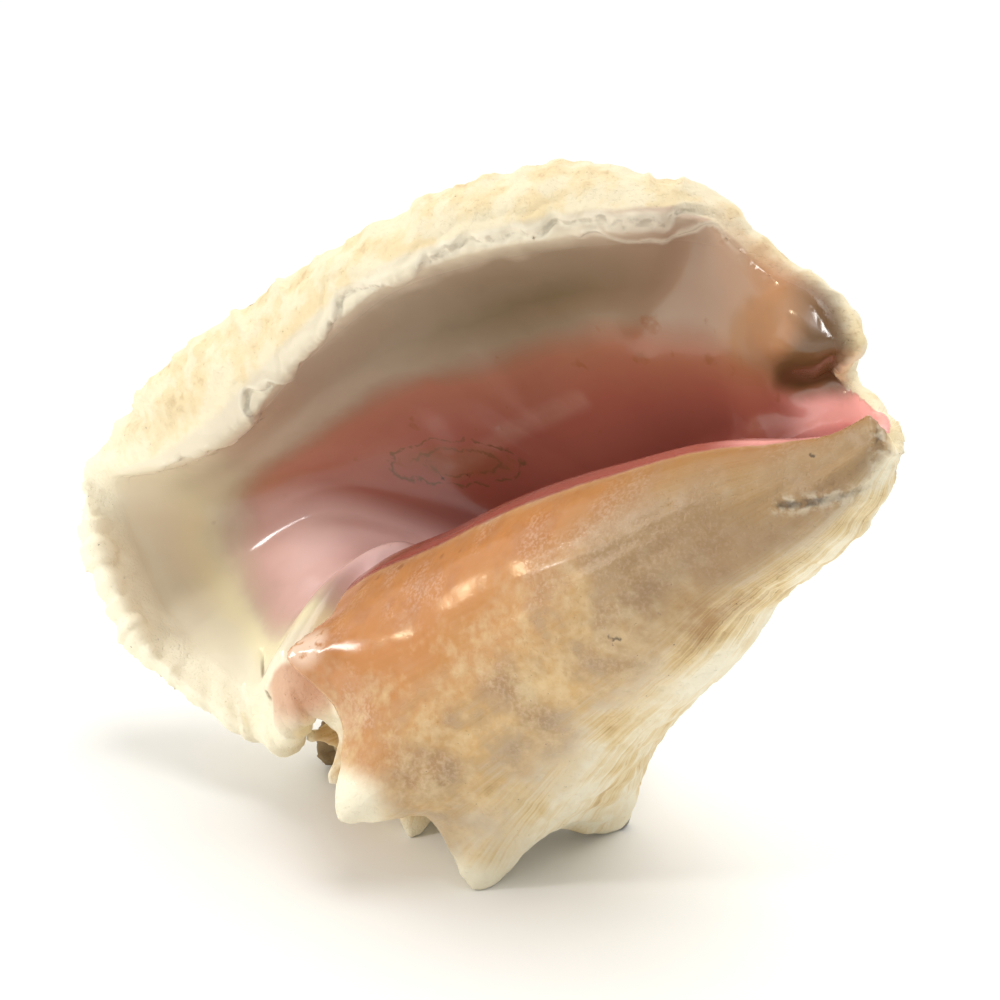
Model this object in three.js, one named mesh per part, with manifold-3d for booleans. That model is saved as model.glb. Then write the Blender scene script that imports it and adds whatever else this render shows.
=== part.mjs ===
// A queen conch shell at its real size, in millimetres, +Z up, lying on its shoulder spines.
// The origin is at the middle of the shell's box, on the table.
//
// The shell grew as one piece, so it is one solid: the coiled body, less the hollow of its last
// whorl, plus the flared outer lip. All three are worked out in the shell's own frame and turned
// into the lying position at the end. A point of that frame is given as
//   side    from the coiling axis towards the flared lip
//   front   out of the opening
//   along   along the coiling axis, from 0 where the spire would end in a point, and so from
//           apexAlong at its worn apex, to shellLength at the tip of the canal
// A turn is an angle of growth in radians: 2 pi at the lip, 0 one whorl before it.
import * as THREE from 'three';
import { mergeVertices } from 'three/addons/utils/BufferGeometryUtils.js';
import Module from 'manifold-3d';

const WHORL = 2 * Math.PI;
const DEGREE = Math.PI / 180;

// Driving dimensions
const shellLength = 213;
const growthPerRadian = 0.07;
const shoulderRadius = 58;
const shoulderAlong = 96;
const spineRise = 16;
const spineLean = 5;
const sutureStep = 6;
const apexAlong = 5;
const apexRadius = 5.5;
const apexLump = 3.5;
const wallThickness = 7;
const lipThickness = 8;
const tableCut = 1.9;

// Share by which the body is fuller at the back than a plain coil, and the turns between which
// this sets in
const backSwell = 0.3;
const swellStarts = 215 * DEGREE;
const swellFull = 300 * DEGREE;

// Directions of the shell's own frame when it lies on the table
const sideDirection = new THREE.Vector3(-0.574, 0.212, 0.791);
const frontDirection = new THREE.Vector3(-0.556, -0.811, -0.186);
const alongDirection = new THREE.Vector3(0.602, -0.546, 0.583);

// Shoulder spines of the last whorl: place on the turn and half width of the foot in degrees,
// and height as a share of spineRise at full size
const lastSpines = [
  { at: 51, rise: 0.95, reach: 19 },
  { at: 98, rise: 1.25, reach: 21 },
  { at: 140, rise: 1.12, reach: 21 },
  { at: 191, rise: 1.1, reach: 23 },
  { at: 236, rise: 1.1, reach: 22 },
  { at: 281, rise: 0.9, reach: 21 },
];
// Spines of the earlier whorls are evenly spaced on both sides of this one
const spireSpine = { at: -223, rise: 1.25, reach: 17 };
const spireSpineSpacing = 43;
const spireSpinesBefore = 12;
const spireSpinesAfter = 4;

// Shape of a spine: rounding of its tip, hollowness of its sides, the share of the flank that its
// foot covers, and how steeply it rises on the shoulder's face
const spineTipRounding = 0.14;
const spineHollowness = 1.7;
const spineFootShare = 0.24;
const spineFaceSteepness = 2.2;

// Steps of the spire: radius at the suture as a share of the earlier whorl's, and the bulge of
// the face between suture and shoulder, where 1 is flat
const sutureRadiusShare = 0.95;
const shoulderFaceBulge = 0.85;

// Narrowing of a whorl from its shoulder to the canal: share of the way, share of the radius
const flankOutline = [
  [0, 1], [0.07, 1.01], [0.2, 0.91], [0.3, 0.79], [0.4, 0.71], [0.5, 0.64], [0.58, 0.57],
  [0.64, 0.48], [0.7, 0.43], [0.78, 0.395], [0.86, 0.34], [0.93, 0.25], [0.98, 0.13], [1, 0.02],
];

// The same in front, where the flank is the column beside the opening and the canal. It passes
// into the other outline between two turns.
const columnEnds = 40 * DEGREE;
const flankStarts = 130 * DEGREE;
const columnOutline = [
  [0, 1], [0.09, 0.99], [0.25, 0.89], [0.35, 0.85], [0.46, 0.78], [0.55, 0.7], [0.63, 0.615],
  [0.73, 0.505], [0.79, 0.41], [0.85, 0.28], [0.91, 0.17], [0.95, 0.13], [0.98, 0.11], [1, 0.03],
];

// The last whorl's own wall thins out between these turns, where the lip takes over
const wallEnds = 318 * DEGREE;
const wallGone = 350 * DEGREE;

// Share of the wall's thickness that is left at the canal, and share by which the column inside
// the whorl is thinner than in the opening
const canalWallShare = 0.5;
const hiddenThinning = 0.45;

// The hollow of the last whorl, from its blind end to the opening
const hollowStart = 185 * DEGREE;
const hollowFull = 240 * DEGREE;
const hollowOpens = 286 * DEGREE;
const hollowOpen = 303 * DEGREE;
const hollowEnd = 357 * DEGREE;
const hollowAlongEnd = 206;
const openAlongEnd = 215;
const openRadius = 100;

// A section of the hollow is a lens: its widest place and the width of its ends, as shares. The
// blind end is this much shorter and narrower.
const lensCentre = 0.3;
const lensEnd = 0.15;
const blindLength = 0.25;
const blindWidth = 0.3;

// Ribs of the flared lip, from its joint with the spire, round the rim, to the canal: root,
// throat, middle, crest, rim, behind. A rib runs from its root on the wall of the last whorl, given
// as a place along the axis, through the throat and the middle of the inner face to the crest and
// the outer rim. behind is how far the back of the lip lies behind the rim.
const lipRoot = 284 * DEGREE;
const lipRibs = [
  [57, [26, -10, 64], [28, 0, 52], [19, 14, 48], [8, 18, 48], 6],
  [62, [37, -15, 66], [41, 0, 52], [33, 24, 44], [16, 31, 43], 6],
  [64, [42, -15, 45], [39, 8, 33], [29, 25, 24], [12, 30, 25], 6],
  [67, [47, -20, 39], [47, -2, 17], [40, 20, 13], [30, 32, 13], 7],
  [71, [53, -24, 35], [56, -8, 7], [54, 16, 0], [54, 30, -1], 7],
  [75, [58, -27, 32], [66, -12, 1], [69, 12, -5], [72, 26, -4], 7],
  [79, [63, -30, 34], [80, -14, 5], [92, 8, -1], [100, 18, -3], 7],
  [84, [67, -31, 36], [85, -14, 14], [101, 10, 7], [110, 12, -1], 6],
  [90, [68, -33, 46], [84, -15, 31], [91, 12, 43], [114, 6, 19], 4],
  [98, [68, -35, 61], [84, -17, 57], [88, 10, 71], [117, 0, 48], 3],
  [108, [66, -34, 84], [82, -20, 83], [91, 6, 95], [113, -5, 85], 2],
  [118, [60, -34, 103], [77, -22, 109], [90, 2, 128], [107, -10, 117], 2],
  [129, [54, -33, 124], [71, -24, 131], [85, -3, 145], [100, -15, 144], 2],
  [140, [46, -31, 144], [61, -25, 153], [74, -8, 167], [91, -22, 167], 2],
  [151, [37, -30, 158], [51, -26, 169], [64, -14, 184], [75, -28, 183], 2],
  [160, [30, -28, 169], [43, -26, 180], [57, -22, 192], [61, -32, 192], 3],
  [167, [25, -27, 174], [32, -22, 187], [40, -20, 199], [42, -30, 199], 3],
  [173, [20, -25, 180], [26, -17, 194], [28, -13, 208], [26, -22, 208], 3],
  [178, [17, -24, 181], [21, -18, 192], [19, -8, 208], [16, -12, 212], 3],
  [183, [15, -23, 183], [15, -22, 192], [14, -19, 199], [14, -18, 201], 4],
  [190, [12, -22, 185], [10, -20, 194], [7, -17, 201], [7, -19, 202], 2],
  [196, [7, -19, 196], [5, -17, 200], [3, -15, 203], [3, -16, 204], 2],
].map(([root, throat, middle, crest, rim, behind]) => ({ root, throat, middle, crest, rim, behind }));

// Depths of the lip's two roots in the wall of the last whorl, as shares of its thickness
const innerRootDepth = 0.9;
const outerRootDepth = 0.25;

// The lip is this much thicker behind the middle, less where the rim's back lies this far behind
const middleSwell = 1.5;
const fullBehind = 7;

// The rounding of the rim: share of the way from the crest to the rim, and how far it stands out
const rimShare = 0.55;
const rimBulge = 0.12;

// The lip thins out towards the tip of the canal, for roots between these places along the axis
const thinFrom = 176;
const thinTo = 196;
const thinnest = 0.2;

// Block that wears the spine tips flat, wide and deep enough to reach past the whole shell
const blockWidth = 600;
const blockDepth = 100;

// Fineness of the faceted surfaces
const bodyAngleSteps = 66;
const bodyRows = [
  { to: 20, step: 3.5 }, { to: 102, step: 3.5 }, { to: 206, step: 9.5 }, { to: 213, step: 3 },
];
const hollowSteps = 22;
const hollowRows = 12;
const lipStepsPerRib = 2;
const lipPointsPerFace = 9;

function smooth(low, high, value) {
  const share = Math.min(Math.max((value - low) / (high - low), 0), 1);
  return share * share * (3 - 2 * share);
}

function mix(from, to, share) {
  return from + (to - from) * share;
}

// Value at x of a smooth curve through points of increasing x
function curveThrough(points, x) {
  let k = 0;
  while (k < points.length - 2 && x > points[k + 1][0]) k++;
  const [x0, y0] = points[k];
  const [x1, y1] = points[k + 1];
  const [xBefore, yBefore] = points[Math.max(k - 1, 0)];
  const [xAfter, yAfter] = points[Math.min(k + 2, points.length - 1)];
  const width = x1 - x0;
  const t = Math.min(Math.max((x - x0) / width, 0), 1);
  const slope0 = (y1 - yBefore) / (x1 - xBefore) * width;
  const slope1 = (yAfter - y0) / (xAfter - x0) * width;
  const t2 = t * t;
  const t3 = t2 * t;
  return (2 * t3 - 3 * t2 + 1) * y0 + (t3 - 2 * t2 + t) * slope0
    + (3 * t2 - 2 * t3) * y1 + (t3 - t2) * slope1;
}

// Size of the coiling at a turn, 1 at the lip
function growth(turn) {
  return Math.exp(growthPerRadian * (turn - WHORL));
}

function allSpines() {
  const spines = [...lastSpines];
  for (let k = -spireSpinesBefore; k <= spireSpinesAfter; k++) {
    spines.push({ ...spireSpine, at: spireSpine.at + k * spireSpineSpacing });
  }
  return spines;
}

const spines = allSpines();

// A peak with hollow flanks and a rounded tip, about 1 at 0 and 0 from 1 on
function peak(x) {
  const distance = Math.hypot(x, spineTipRounding) - spineTipRounding;
  return Math.pow(Math.max(1 - distance, 0), spineHollowness);
}

function spineHeight(turn) {
  const degrees = turn / DEGREE;
  const heights = spines.map((spine) => spine.rise * peak((degrees - spine.at) / spine.reach));
  return spineRise * growth(turn) * Math.max(...heights);
}

// The shoulder of the whorl at a turn: a ridge that carries the spines
function shoulder(turn, spiny) {
  const size = growth(turn);
  const spine = spiny ? spineHeight(turn) : 0;
  const lean = spineLean * spine / spineRise;
  return { size, spine, radius: shoulderRadius * size, along: shoulderAlong * size - lean };
}

// Radius of a whorl between its shoulder and the canal
function flankRadius(turn, along, spiny) {
  const top = shoulder(turn, spiny);
  const share = (along - top.along) / (shellLength - top.along);
  const back = smooth(swellStarts, swellFull, turn);
  const front = 1 - smooth(columnEnds, flankStarts, turn);
  const swell = 1 + backSwell * back * smooth(0.1, 0.45, share);
  const outline = mix(curveThrough(flankOutline, share), curveThrough(columnOutline, share), front);
  const spineFoot = Math.max(1 - share / spineFootShare, 0);
  return top.radius * swell * outline + top.spine * spineFoot * spineFoot;
}

// Radius of the coiled body at an angle round the axis, from the last whorl's flank, over the
// shoulder and down the steps of the spire
function coilRadius(angle, along, spiny) {
  let own = shoulder(angle, spiny);
  if (along >= own.along) return flankRadius(angle, along, spiny);
  let turn = angle;
  while (own.along > apexAlong) {
    const before = shoulder(turn - WHORL, spiny);
    const tucked = sutureRadiusShare * before.radius;
    const suture = shoulderAlong * before.size + sutureStep * own.size;
    if (along >= suture) {
      const share = (along - suture) / (own.along - suture);
      const face = mix(tucked, own.radius, Math.pow(share, shoulderFaceBulge));
      return face + own.spine * Math.pow(share, spineFaceSteepness);
    }
    if (along >= before.along) {
      const share = (along - before.along) / (suture - before.along);
      return mix(before.radius + before.spine, tucked, smooth(0, 1, share));
    }
    turn -= WHORL;
    own = before;
  }
  return own.radius;
}

// Thickness of the last whorl's wall, which thins towards the canal
function wallAt(along) {
  return wallThickness * mix(1, canalWallShare, smooth(shoulderAlong, shellLength, along));
}

// Radius of the column and the earlier whorls, which lie inside the last whorl at a turn
function coreRadius(turn, along, spiny) {
  const inner = turn - WHORL;
  const top = shoulder(inner, spiny).along;
  const share = (along - top) / (shellLength - top);
  const hidden = 1 - smooth(0.75 * WHORL, WHORL, turn);
  const thinning = hiddenThinning * hidden * smooth(0.1, 0.5, share);
  return coilRadius(inner, along, spiny) * (1 - thinning);
}

function bodyRadius(angle, along) {
  const lump = apexLump * Math.cos(angle - 45 * DEGREE) * (1 - smooth(8, 20, along));
  const outer = Math.max(coilRadius(angle, along, true), apexRadius + lump);
  return mix(outer, coreRadius(WHORL, along, true), smooth(wallEnds, wallGone, angle));
}

function roundAxis(angle, radius, along) {
  return new THREE.Vector3(radius * Math.cos(angle), radius * Math.sin(angle), along);
}

const wasm = await Module();
wasm.setup();

function reversed(triangles) {
  const turned = [];
  for (let k = 0; k < triangles.length; k += 3) {
    turned.push(triangles[k], triangles[k + 2], triangles[k + 1]);
  }
  return turned;
}

// A solid from points and triangles, with its faces turned outwards
function solidFrom(points, triangles) {
  let geometry = new THREE.BufferGeometry().setFromPoints(points);
  geometry.setIndex(triangles);
  geometry = mergeVertices(geometry);
  const vertProperties = new Float32Array(geometry.attributes.position.array);
  const index = geometry.index.array;
  const kept = [];
  for (let k = 0; k < index.length; k += 3) {
    const corners = [index[k], index[k + 1], index[k + 2]];
    if (new Set(corners).size === 3) kept.push(...corners);
  }
  const build = (list) => new wasm.Manifold(
    new wasm.Mesh({ numProp: 3, vertProperties, triVerts: new Uint32Array(list) }),
  );
  const solid = build(kept);
  return solid.volume() > 0 ? solid : build(reversed(kept));
}

// A solid through rings of points. The ends are closed between the two halves of a ring.
function loft(rings) {
  const count = rings[0].length;
  const triangles = [];
  for (let i = 0; i + 1 < rings.length; i++) {
    for (let j = 0; j < count; j++) {
      const next = (j + 1) % count;
      const [a, b] = [i * count + j, i * count + next];
      triangles.push(a, b, b + count, a, b + count, a + count);
    }
  }
  const last = (rings.length - 1) * count;
  for (let j = 0; j < count / 2 - 1; j++) {
    const across = count - 1 - j;
    triangles.push(j, across, j + 1, j + 1, across, across - 1);
    triangles.push(last + j, last + j + 1, last + across);
    triangles.push(last + j + 1, last + across - 1, last + across);
  }
  return solidFrom(rings.flat(), triangles);
}

function bodyHeights() {
  const heights = [apexAlong];
  for (const { to, step } of bodyRows) {
    const from = heights[heights.length - 1];
    const count = Math.round((to - from) / step);
    for (let k = 1; k <= count; k++) heights.push(mix(from, to, k / count));
  }
  heights.pop();
  return heights;
}

function bodySolid() {
  const heights = bodyHeights();
  const points = [];
  for (const along of heights) {
    for (let k = 0; k < bodyAngleSteps; k++) {
      const angle = (k + 0.5) / bodyAngleSteps * WHORL;
      points.push(roundAxis(angle, bodyRadius(angle, along), along));
    }
  }
  const apex = points.push(new THREE.Vector3(0, 0, apexAlong)) - 1;
  const tip = points.push(new THREE.Vector3(0, 0, shellLength)) - 1;
  const triangles = [];
  const lastRow = (heights.length - 1) * bodyAngleSteps;
  for (let k = 0; k < bodyAngleSteps; k++) {
    const next = (k + 1) % bodyAngleSteps;
    triangles.push(apex, next, k, tip, lastRow + k, lastRow + next);
    for (let i = 0; i < lastRow; i += bodyAngleSteps) {
      const [a, b] = [i + k, i + next];
      triangles.push(a, b, b + bodyAngleSteps, a, b + bodyAngleSteps, a + bodyAngleSteps);
    }
  }
  return solidFrom(points, triangles);
}

// One section of the hollow: down the inside along the column and back along the wall
function hollowRing(turn) {
  const suture = shoulderAlong * growth(turn - WHORL);
  const narrow = smooth(hollowStart - 10 * DEGREE, hollowFull, turn);
  const open = smooth(hollowOpens, hollowOpen, turn);
  const first = mix(suture, shoulder(turn, false).along, mix(0.4, -0.1, open));
  const end = mix(hollowAlongEnd, openAlongEnd, open);
  const centre = mix(first, end, lensCentre);
  const columnSide = [];
  const wallSide = [];
  for (let j = 0; j <= hollowRows; j++) {
    const share = j / hollowRows;
    const along = mix(centre, mix(first, end, share), mix(blindLength, 1, narrow));
    const column = coreRadius(turn, along, false);
    const wall = coilRadius(turn, along, false) - wallAt(along);
    const middle = (column + wall) / 2;
    const lens = mix(lensEnd, 1, Math.sqrt(Math.max(Math.sin(Math.PI * share), 0)));
    const width = mix(lens, 1, open) * mix(blindWidth, 1, narrow);
    const half = Math.max((wall - column) / 2, 0.5) * width;
    columnSide.push(roundAxis(turn, middle - half, along));
    wallSide.push(roundAxis(turn, mix(middle + half, openRadius, open), along));
  }
  return [...columnSide, ...wallSide.reverse()];
}

function hollowSolid() {
  const rings = [];
  for (let i = 0; i <= hollowSteps; i++) {
    rings.push(hollowRing(mix(hollowStart, hollowEnd, i / hollowSteps)));
  }
  return loft(rings);
}

function smoothCurve(points) {
  return new THREE.CatmullRomCurve3(points, false, 'centripetal');
}

// Direction out of the back of the lip at one named point of a rib
function backwards(columns, column, rib) {
  const [before, after] = [Math.max(rib - 1, 0), Math.min(rib + 1, lipRibs.length - 1)];
  const [inward, outward] = [column - 1, Math.min(column + 1, columns.length - 1)];
  const round = new THREE.Vector3().subVectors(columns[column][after], columns[column][before]);
  const across = new THREE.Vector3().subVectors(columns[outward][rib], columns[inward][rib]);
  return across.cross(round).normalize();
}

function lipSolid() {
  const rootAt = (along, depth) => {
    const radius = coilRadius(lipRoot, along, false) - depth * wallAt(along);
    return roundAxis(lipRoot, radius, along);
  };
  const column = (name) => lipRibs.map((rib) => new THREE.Vector3(...rib[name]));
  const root = lipRibs.map((rib) => rootAt(rib.root, innerRootDepth));
  const [throat, middle, crest, rim] = ['throat', 'middle', 'crest', 'rim'].map(column);
  const face = [root, throat, middle, crest, rim];
  const behind = (k, distance) => face[k].map(
    (point, i) => point.clone().addScaledVector(backwards(face, k, i), distance(i)),
  );
  const thickness = lipRibs.map(
    ({ root }) => lipThickness * mix(1, thinnest, smooth(thinFrom, thinTo, root)),
  );
  const back = [
    lipRibs.map((rib) => rootAt(rib.root, outerRootDepth)),
    behind(1, (i) => thickness[i]),
    behind(2, (i) => mix(middleSwell, 1, lipRibs[i].behind / fullBehind) * thickness[i]),
    behind(4, (i) => lipRibs[i].behind),
  ];
  const inside = [root, throat, middle, crest].map(smoothCurve);
  const outside = back.map(smoothCurve);
  const rimCurve = smoothCurve(rim);
  const rings = [];
  const count = (lipRibs.length - 1) * lipStepsPerRib;
  for (let i = 0; i <= count; i++) {
    const innerKnots = inside.map((curve) => curve.getPoint(i / count));
    const outerKnots = outside.map((curve) => curve.getPoint(i / count));
    const innerFace = smoothCurve(innerKnots).getPoints(lipPointsPerFace);
    const outerFace = smoothCurve(outerKnots).getPoints(lipPointsPerFace);
    const crestPoint = innerFace[lipPointsPerFace];
    const rimPoint = rimCurve.getPoint(i / count);
    const edge = new THREE.Vector3().lerpVectors(crestPoint, rimPoint, rimShare);
    const outwards = new THREE.Vector3().subVectors(edge, innerKnots[2]).normalize();
    edge.addScaledVector(outwards, rimBulge * crestPoint.distanceTo(rimPoint));
    rings.push([...innerFace, edge, rimPoint, ...outerFace.reverse()]);
  }
  return loft(rings);
}

// The shell turned into the lying position, in rows of the transform
function laid(solid) {
  return solid.transform([
    ...sideDirection.toArray(), 0,
    ...frontDirection.toArray(), 0,
    ...alongDirection.toArray(), 0,
    0, 0, 0, 1,
  ]);
}

// A block under the table plane, which wears the resting spine tips flat
function underTable(height) {
  const block = new THREE.BoxGeometry(blockWidth, blockWidth, blockDepth);
  block.translate(0, 0, height - blockDepth / 2);
  block.deleteAttribute('normal');
  block.deleteAttribute('uv');
  const merged = mergeVertices(block);
  return new wasm.Manifold(new wasm.Mesh({
    numProp: 3,
    vertProperties: new Float32Array(merged.attributes.position.array),
    triVerts: new Uint32Array(merged.index.array),
  }));
}

function shellGeometry() {
  const whole = laid(bodySolid().subtract(hollowSolid()).add(lipSolid()));
  const lowest = whole.boundingBox().min[2] + tableCut;
  const worn = whole.subtract(underTable(lowest));
  const { min, max } = worn.boundingBox();
  const placed = worn.translate(-(min[0] + max[0]) / 2, -(min[1] + max[1]) / 2, -lowest);
  const mesh = placed.getMesh();
  const geometry = new THREE.BufferGeometry();
  geometry.setAttribute('position', new THREE.Float32BufferAttribute(mesh.vertProperties, 3));
  geometry.setIndex(new THREE.Uint32BufferAttribute(mesh.triVerts, 1));
  geometry.computeVertexNormals();
  return geometry;
}

const shellMaterial = new THREE.MeshStandardMaterial({ color: 0xe8cfae, roughness: 0.45, metalness: 0 });
const shell = new THREE.Mesh(shellGeometry(), shellMaterial);
shell.name = 'conch_shell';

const conch = new THREE.Group();
conch.add(shell);

export default conch;
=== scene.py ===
"""A queen conch shell lying on its spines: fine surface, materials, light and camera.

The shell is worked out again from the named values of the model, at a finer step: the coiled
body, the hollow of the last whorl and the flared lip become three distance fields, which are
joined with soft edges into one closed skin. Relief is then added on the skin, and masks worked
out from the place on the shell carry the colours.

Lengths are in millimetres until the mesh is made. In the shell's own frame a point is given as
side, from the coiling axis towards the lip; front, out of the opening; and along, down the axis
from the spire to the canal. A turn is an angle of growth: 2 pi at the lip.
"""
import math

import bpy
import numpy as np
import openvdb
from mathutils import Euler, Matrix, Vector
from mathutils.bvhtree import BVHTree


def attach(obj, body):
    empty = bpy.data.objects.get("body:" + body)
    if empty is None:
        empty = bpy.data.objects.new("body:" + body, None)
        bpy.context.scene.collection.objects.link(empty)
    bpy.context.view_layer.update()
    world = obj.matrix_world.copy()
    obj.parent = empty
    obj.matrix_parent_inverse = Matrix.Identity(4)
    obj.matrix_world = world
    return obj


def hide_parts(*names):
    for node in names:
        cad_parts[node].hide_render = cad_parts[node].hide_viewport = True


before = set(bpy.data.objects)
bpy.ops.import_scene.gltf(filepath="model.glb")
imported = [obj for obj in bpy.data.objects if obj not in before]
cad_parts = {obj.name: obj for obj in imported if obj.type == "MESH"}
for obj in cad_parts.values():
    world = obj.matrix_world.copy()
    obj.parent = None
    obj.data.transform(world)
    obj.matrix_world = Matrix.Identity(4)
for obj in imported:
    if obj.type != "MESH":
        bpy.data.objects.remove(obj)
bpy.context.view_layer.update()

WHORL = 2 * math.pi
DEGREE = math.pi / 180
MM = 0.001

# Driving dimensions, as in the model
SHELL_LENGTH = 213.0
GROWTH_PER_RADIAN = 0.07
SHOULDER_RADIUS = 58.0
SHOULDER_ALONG = 96.0
SPINE_RISE = 16.0
SPINE_LEAN = 5.0
SUTURE_STEP = 6.0
APEX_ALONG = 5.0
APEX_RADIUS = 5.5
APEX_LUMP = 3.5
WALL_THICKNESS = 7.0
LIP_THICKNESS = 8.0
BACK_SWELL = 0.3
PEAK_ROUNDING = 0.14
PEAK_POWER = 1.7
MOST_WHORLS = 14
TUCKED_SHARE = 0.95

# The shell's own frame in the lying position, and its origin on the table
SIDE = np.array([-0.574, 0.212, 0.791])
FRONT = np.array([-0.556, -0.811, -0.186])
ALONG = np.array([0.602, -0.546, 0.583])
SHELL_ORIGIN = np.array([-30.15, 43.004, 0.382])

# Spines: place on the turn and half width in degrees, height as a share
LAST_SPINES = [(51, 0.95, 19), (98, 1.25, 21), (140, 1.12, 21),
               (191, 1.1, 23), (236, 1.1, 22), (281, 0.9, 21)]
SPIRE_SPINE_AT = -223
SPIRE_SPINE_SPACING = 43
SPIRE_SPINES = range(-12, 5)
SPINES = LAST_SPINES + [
    (SPIRE_SPINE_AT + k * SPIRE_SPINE_SPACING, 1.25, 17) for k in SPIRE_SPINES]

FLANK_OUTLINE = [
    (0, 1), (0.07, 1.01), (0.2, 0.91), (0.3, 0.79), (0.4, 0.71), (0.5, 0.64), (0.58, 0.57),
    (0.64, 0.48), (0.7, 0.43), (0.78, 0.395), (0.86, 0.34), (0.93, 0.25), (0.98, 0.13), (1, 0.02)]
COLUMN_OUTLINE = [
    (0, 1), (0.09, 0.99), (0.25, 0.89), (0.35, 0.85), (0.46, 0.78), (0.55, 0.7), (0.63, 0.615),
    (0.73, 0.505), (0.79, 0.41), (0.85, 0.28), (0.91, 0.17), (0.95, 0.13), (0.98, 0.11), (1, 0.03)]

WALL_ENDS = 318 * DEGREE
WALL_GONE = 350 * DEGREE
HOLLOW_START = 185 * DEGREE
HOLLOW_FULL = 240 * DEGREE
HOLLOW_OPENS = 286 * DEGREE
HOLLOW_OPEN = 303 * DEGREE
HOLLOW_END = 357 * DEGREE
HOLLOW_ALONG_END = 206.0
OPEN_ALONG_END = 215.0
OPEN_RADIUS = 100.0

# Ribs of the lip: root, throat, middle, crest, rim, behind
LIP_ROOT = 284 * DEGREE
LIP_RIBS = [
    (57, (26, -10, 64), (28, 0, 52), (19, 14, 48), (8, 18, 48), 6),
    (62, (37, -15, 66), (41, 0, 52), (33, 24, 44), (16, 31, 43), 6),
    (64, (42, -15, 45), (39, 8, 33), (29, 25, 24), (12, 30, 25), 6),
    (67, (47, -20, 39), (47, -2, 17), (40, 20, 13), (30, 32, 13), 7),
    (71, (53, -24, 35), (56, -8, 7), (54, 16, 0), (54, 30, -1), 7),
    (75, (58, -27, 32), (66, -12, 1), (69, 12, -5), (72, 26, -4), 7),
    (79, (63, -30, 34), (80, -14, 5), (92, 8, -1), (100, 18, -3), 7),
    (84, (67, -31, 36), (85, -14, 14), (101, 10, 7), (110, 12, -1), 6),
    (90, (68, -33, 46), (84, -15, 31), (91, 12, 43), (114, 6, 19), 4),
    (98, (68, -35, 61), (84, -17, 57), (88, 10, 71), (117, 0, 48), 3),
    (108, (66, -34, 84), (82, -20, 83), (91, 6, 95), (113, -5, 85), 2),
    (118, (60, -34, 103), (77, -22, 109), (90, 2, 128), (107, -10, 117), 2),
    (129, (54, -33, 124), (71, -24, 131), (85, -3, 145), (100, -15, 144), 2),
    (140, (46, -31, 144), (61, -25, 153), (74, -8, 167), (91, -22, 167), 2),
    (151, (37, -30, 158), (51, -26, 169), (64, -14, 184), (75, -28, 183), 2),
    (160, (30, -28, 169), (43, -26, 180), (57, -22, 192), (61, -32, 192), 3),
    (167, (25, -27, 174), (32, -22, 187), (40, -20, 199), (42, -30, 199), 3),
    (173, (20, -25, 180), (26, -17, 194), (28, -13, 208), (26, -22, 208), 3),
    (178, (17, -24, 181), (21, -18, 192), (19, -8, 208), (16, -12, 212), 3),
    (183, (15, -23, 183), (15, -22, 192), (14, -19, 199), (14, -18, 201), 4),
    (190, (12, -22, 185), (10, -20, 194), (7, -17, 201), (7, -19, 202), 2),
    (196, (7, -19, 196), (5, -17, 200), (3, -15, 203), (3, -16, 204), 2),
]
INNER_ROOT_DEPTH = 0.9
OUTER_ROOT_DEPTH = 0.25
RIM_SHARE = 0.55
RIM_BULGE = 0.12
THIN_FROM, THIN_TO, THINNEST = 176.0, 196.0, 0.2

# Fineness of the skin, and softness of its joins
VOXEL = 0.9
BAND = 7.5
LIP_BLEND = 6.0
MOUTH_EDGE = 3.5
MOST_TRIANGLES = 190000
BODY_STEPS = 400
CORD_SPACING = 8.5
FOLD_SPACING = 17

# The view of the photograph
CAMERA_AT = (21.35, -339.59, 181.38)
CAMERA_TILT = 75 * DEGREE
CAMERA_LENS = 50

# The floor in metres, and the lights: place in metres, size, power in watts and colour
FLOOR_SIZE = 12
FLOOR_PAPER = (0.86, 0.86, 0.85)
HEART = (0, 0, 0.08)
AREA_LIGHTS = [
    ("window", (-0.66, -0.2, 0.42), (0.11, 0.2), 2.1, (1, 0.99, 0.97)),
    ("lamp_left", (-1.2, 0.14, 0.5), (0.045, 0.045), 0.9, (1, 0.82, 0.55))]
SUN_STRENGTH, SUN_SPREAD = 1.95, 45 * DEGREE
SUN_FROM, SUN_COLOR = (0.3, -0.05, 1), (1, 0.98, 0.95)
SKY_COLOR = (1, 0.99, 0.97)
SKY_DIMMING = {"From Min": -0.5, "From Max": 0.9, "To Min": 0.42, "To Max": 1.05}


def smooth(low, high, value):
    share = np.clip((value - low) / (high - low), 0, 1)
    return share * share * (3 - 2 * share)


def mix(low, high, share):
    return low + (high - low) * share


def curve_through(points, x):
    """Value at x of a smooth curve through points of increasing x."""
    xs, ys = np.array(points, float).T
    k = np.clip(np.searchsorted(xs, x, side="left") - 1, 0, len(xs) - 2)
    before, after = np.maximum(k - 1, 0), np.minimum(k + 2, len(xs) - 1)
    width = xs[k + 1] - xs[k]
    t = np.clip((x - xs[k]) / width, 0, 1)
    slope0 = (ys[k + 1] - ys[before]) / (xs[k + 1] - xs[before]) * width
    slope1 = (ys[after] - ys[k]) / (xs[after] - xs[k]) * width
    return ((2 * t**3 - 3 * t**2 + 1) * ys[k] + (t**3 - 2 * t**2 + t) * slope0
            + (3 * t**2 - 2 * t**3) * ys[k + 1] + (t**3 - t**2) * slope1)


# The coiled body

def growth(turn):
    return np.exp(GROWTH_PER_RADIAN * (turn - WHORL))


def peak(x):
    distance = np.sqrt(x * x + PEAK_ROUNDING**2) - PEAK_ROUNDING
    return np.maximum(1 - distance, 0) ** PEAK_POWER


def spine_height(turn):
    degrees = turn / DEGREE
    height = np.zeros_like(degrees)
    for at, rise, reach in SPINES:
        height = np.maximum(height, rise * peak((degrees - at) / reach))
    return SPINE_RISE * growth(turn) * height


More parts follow.
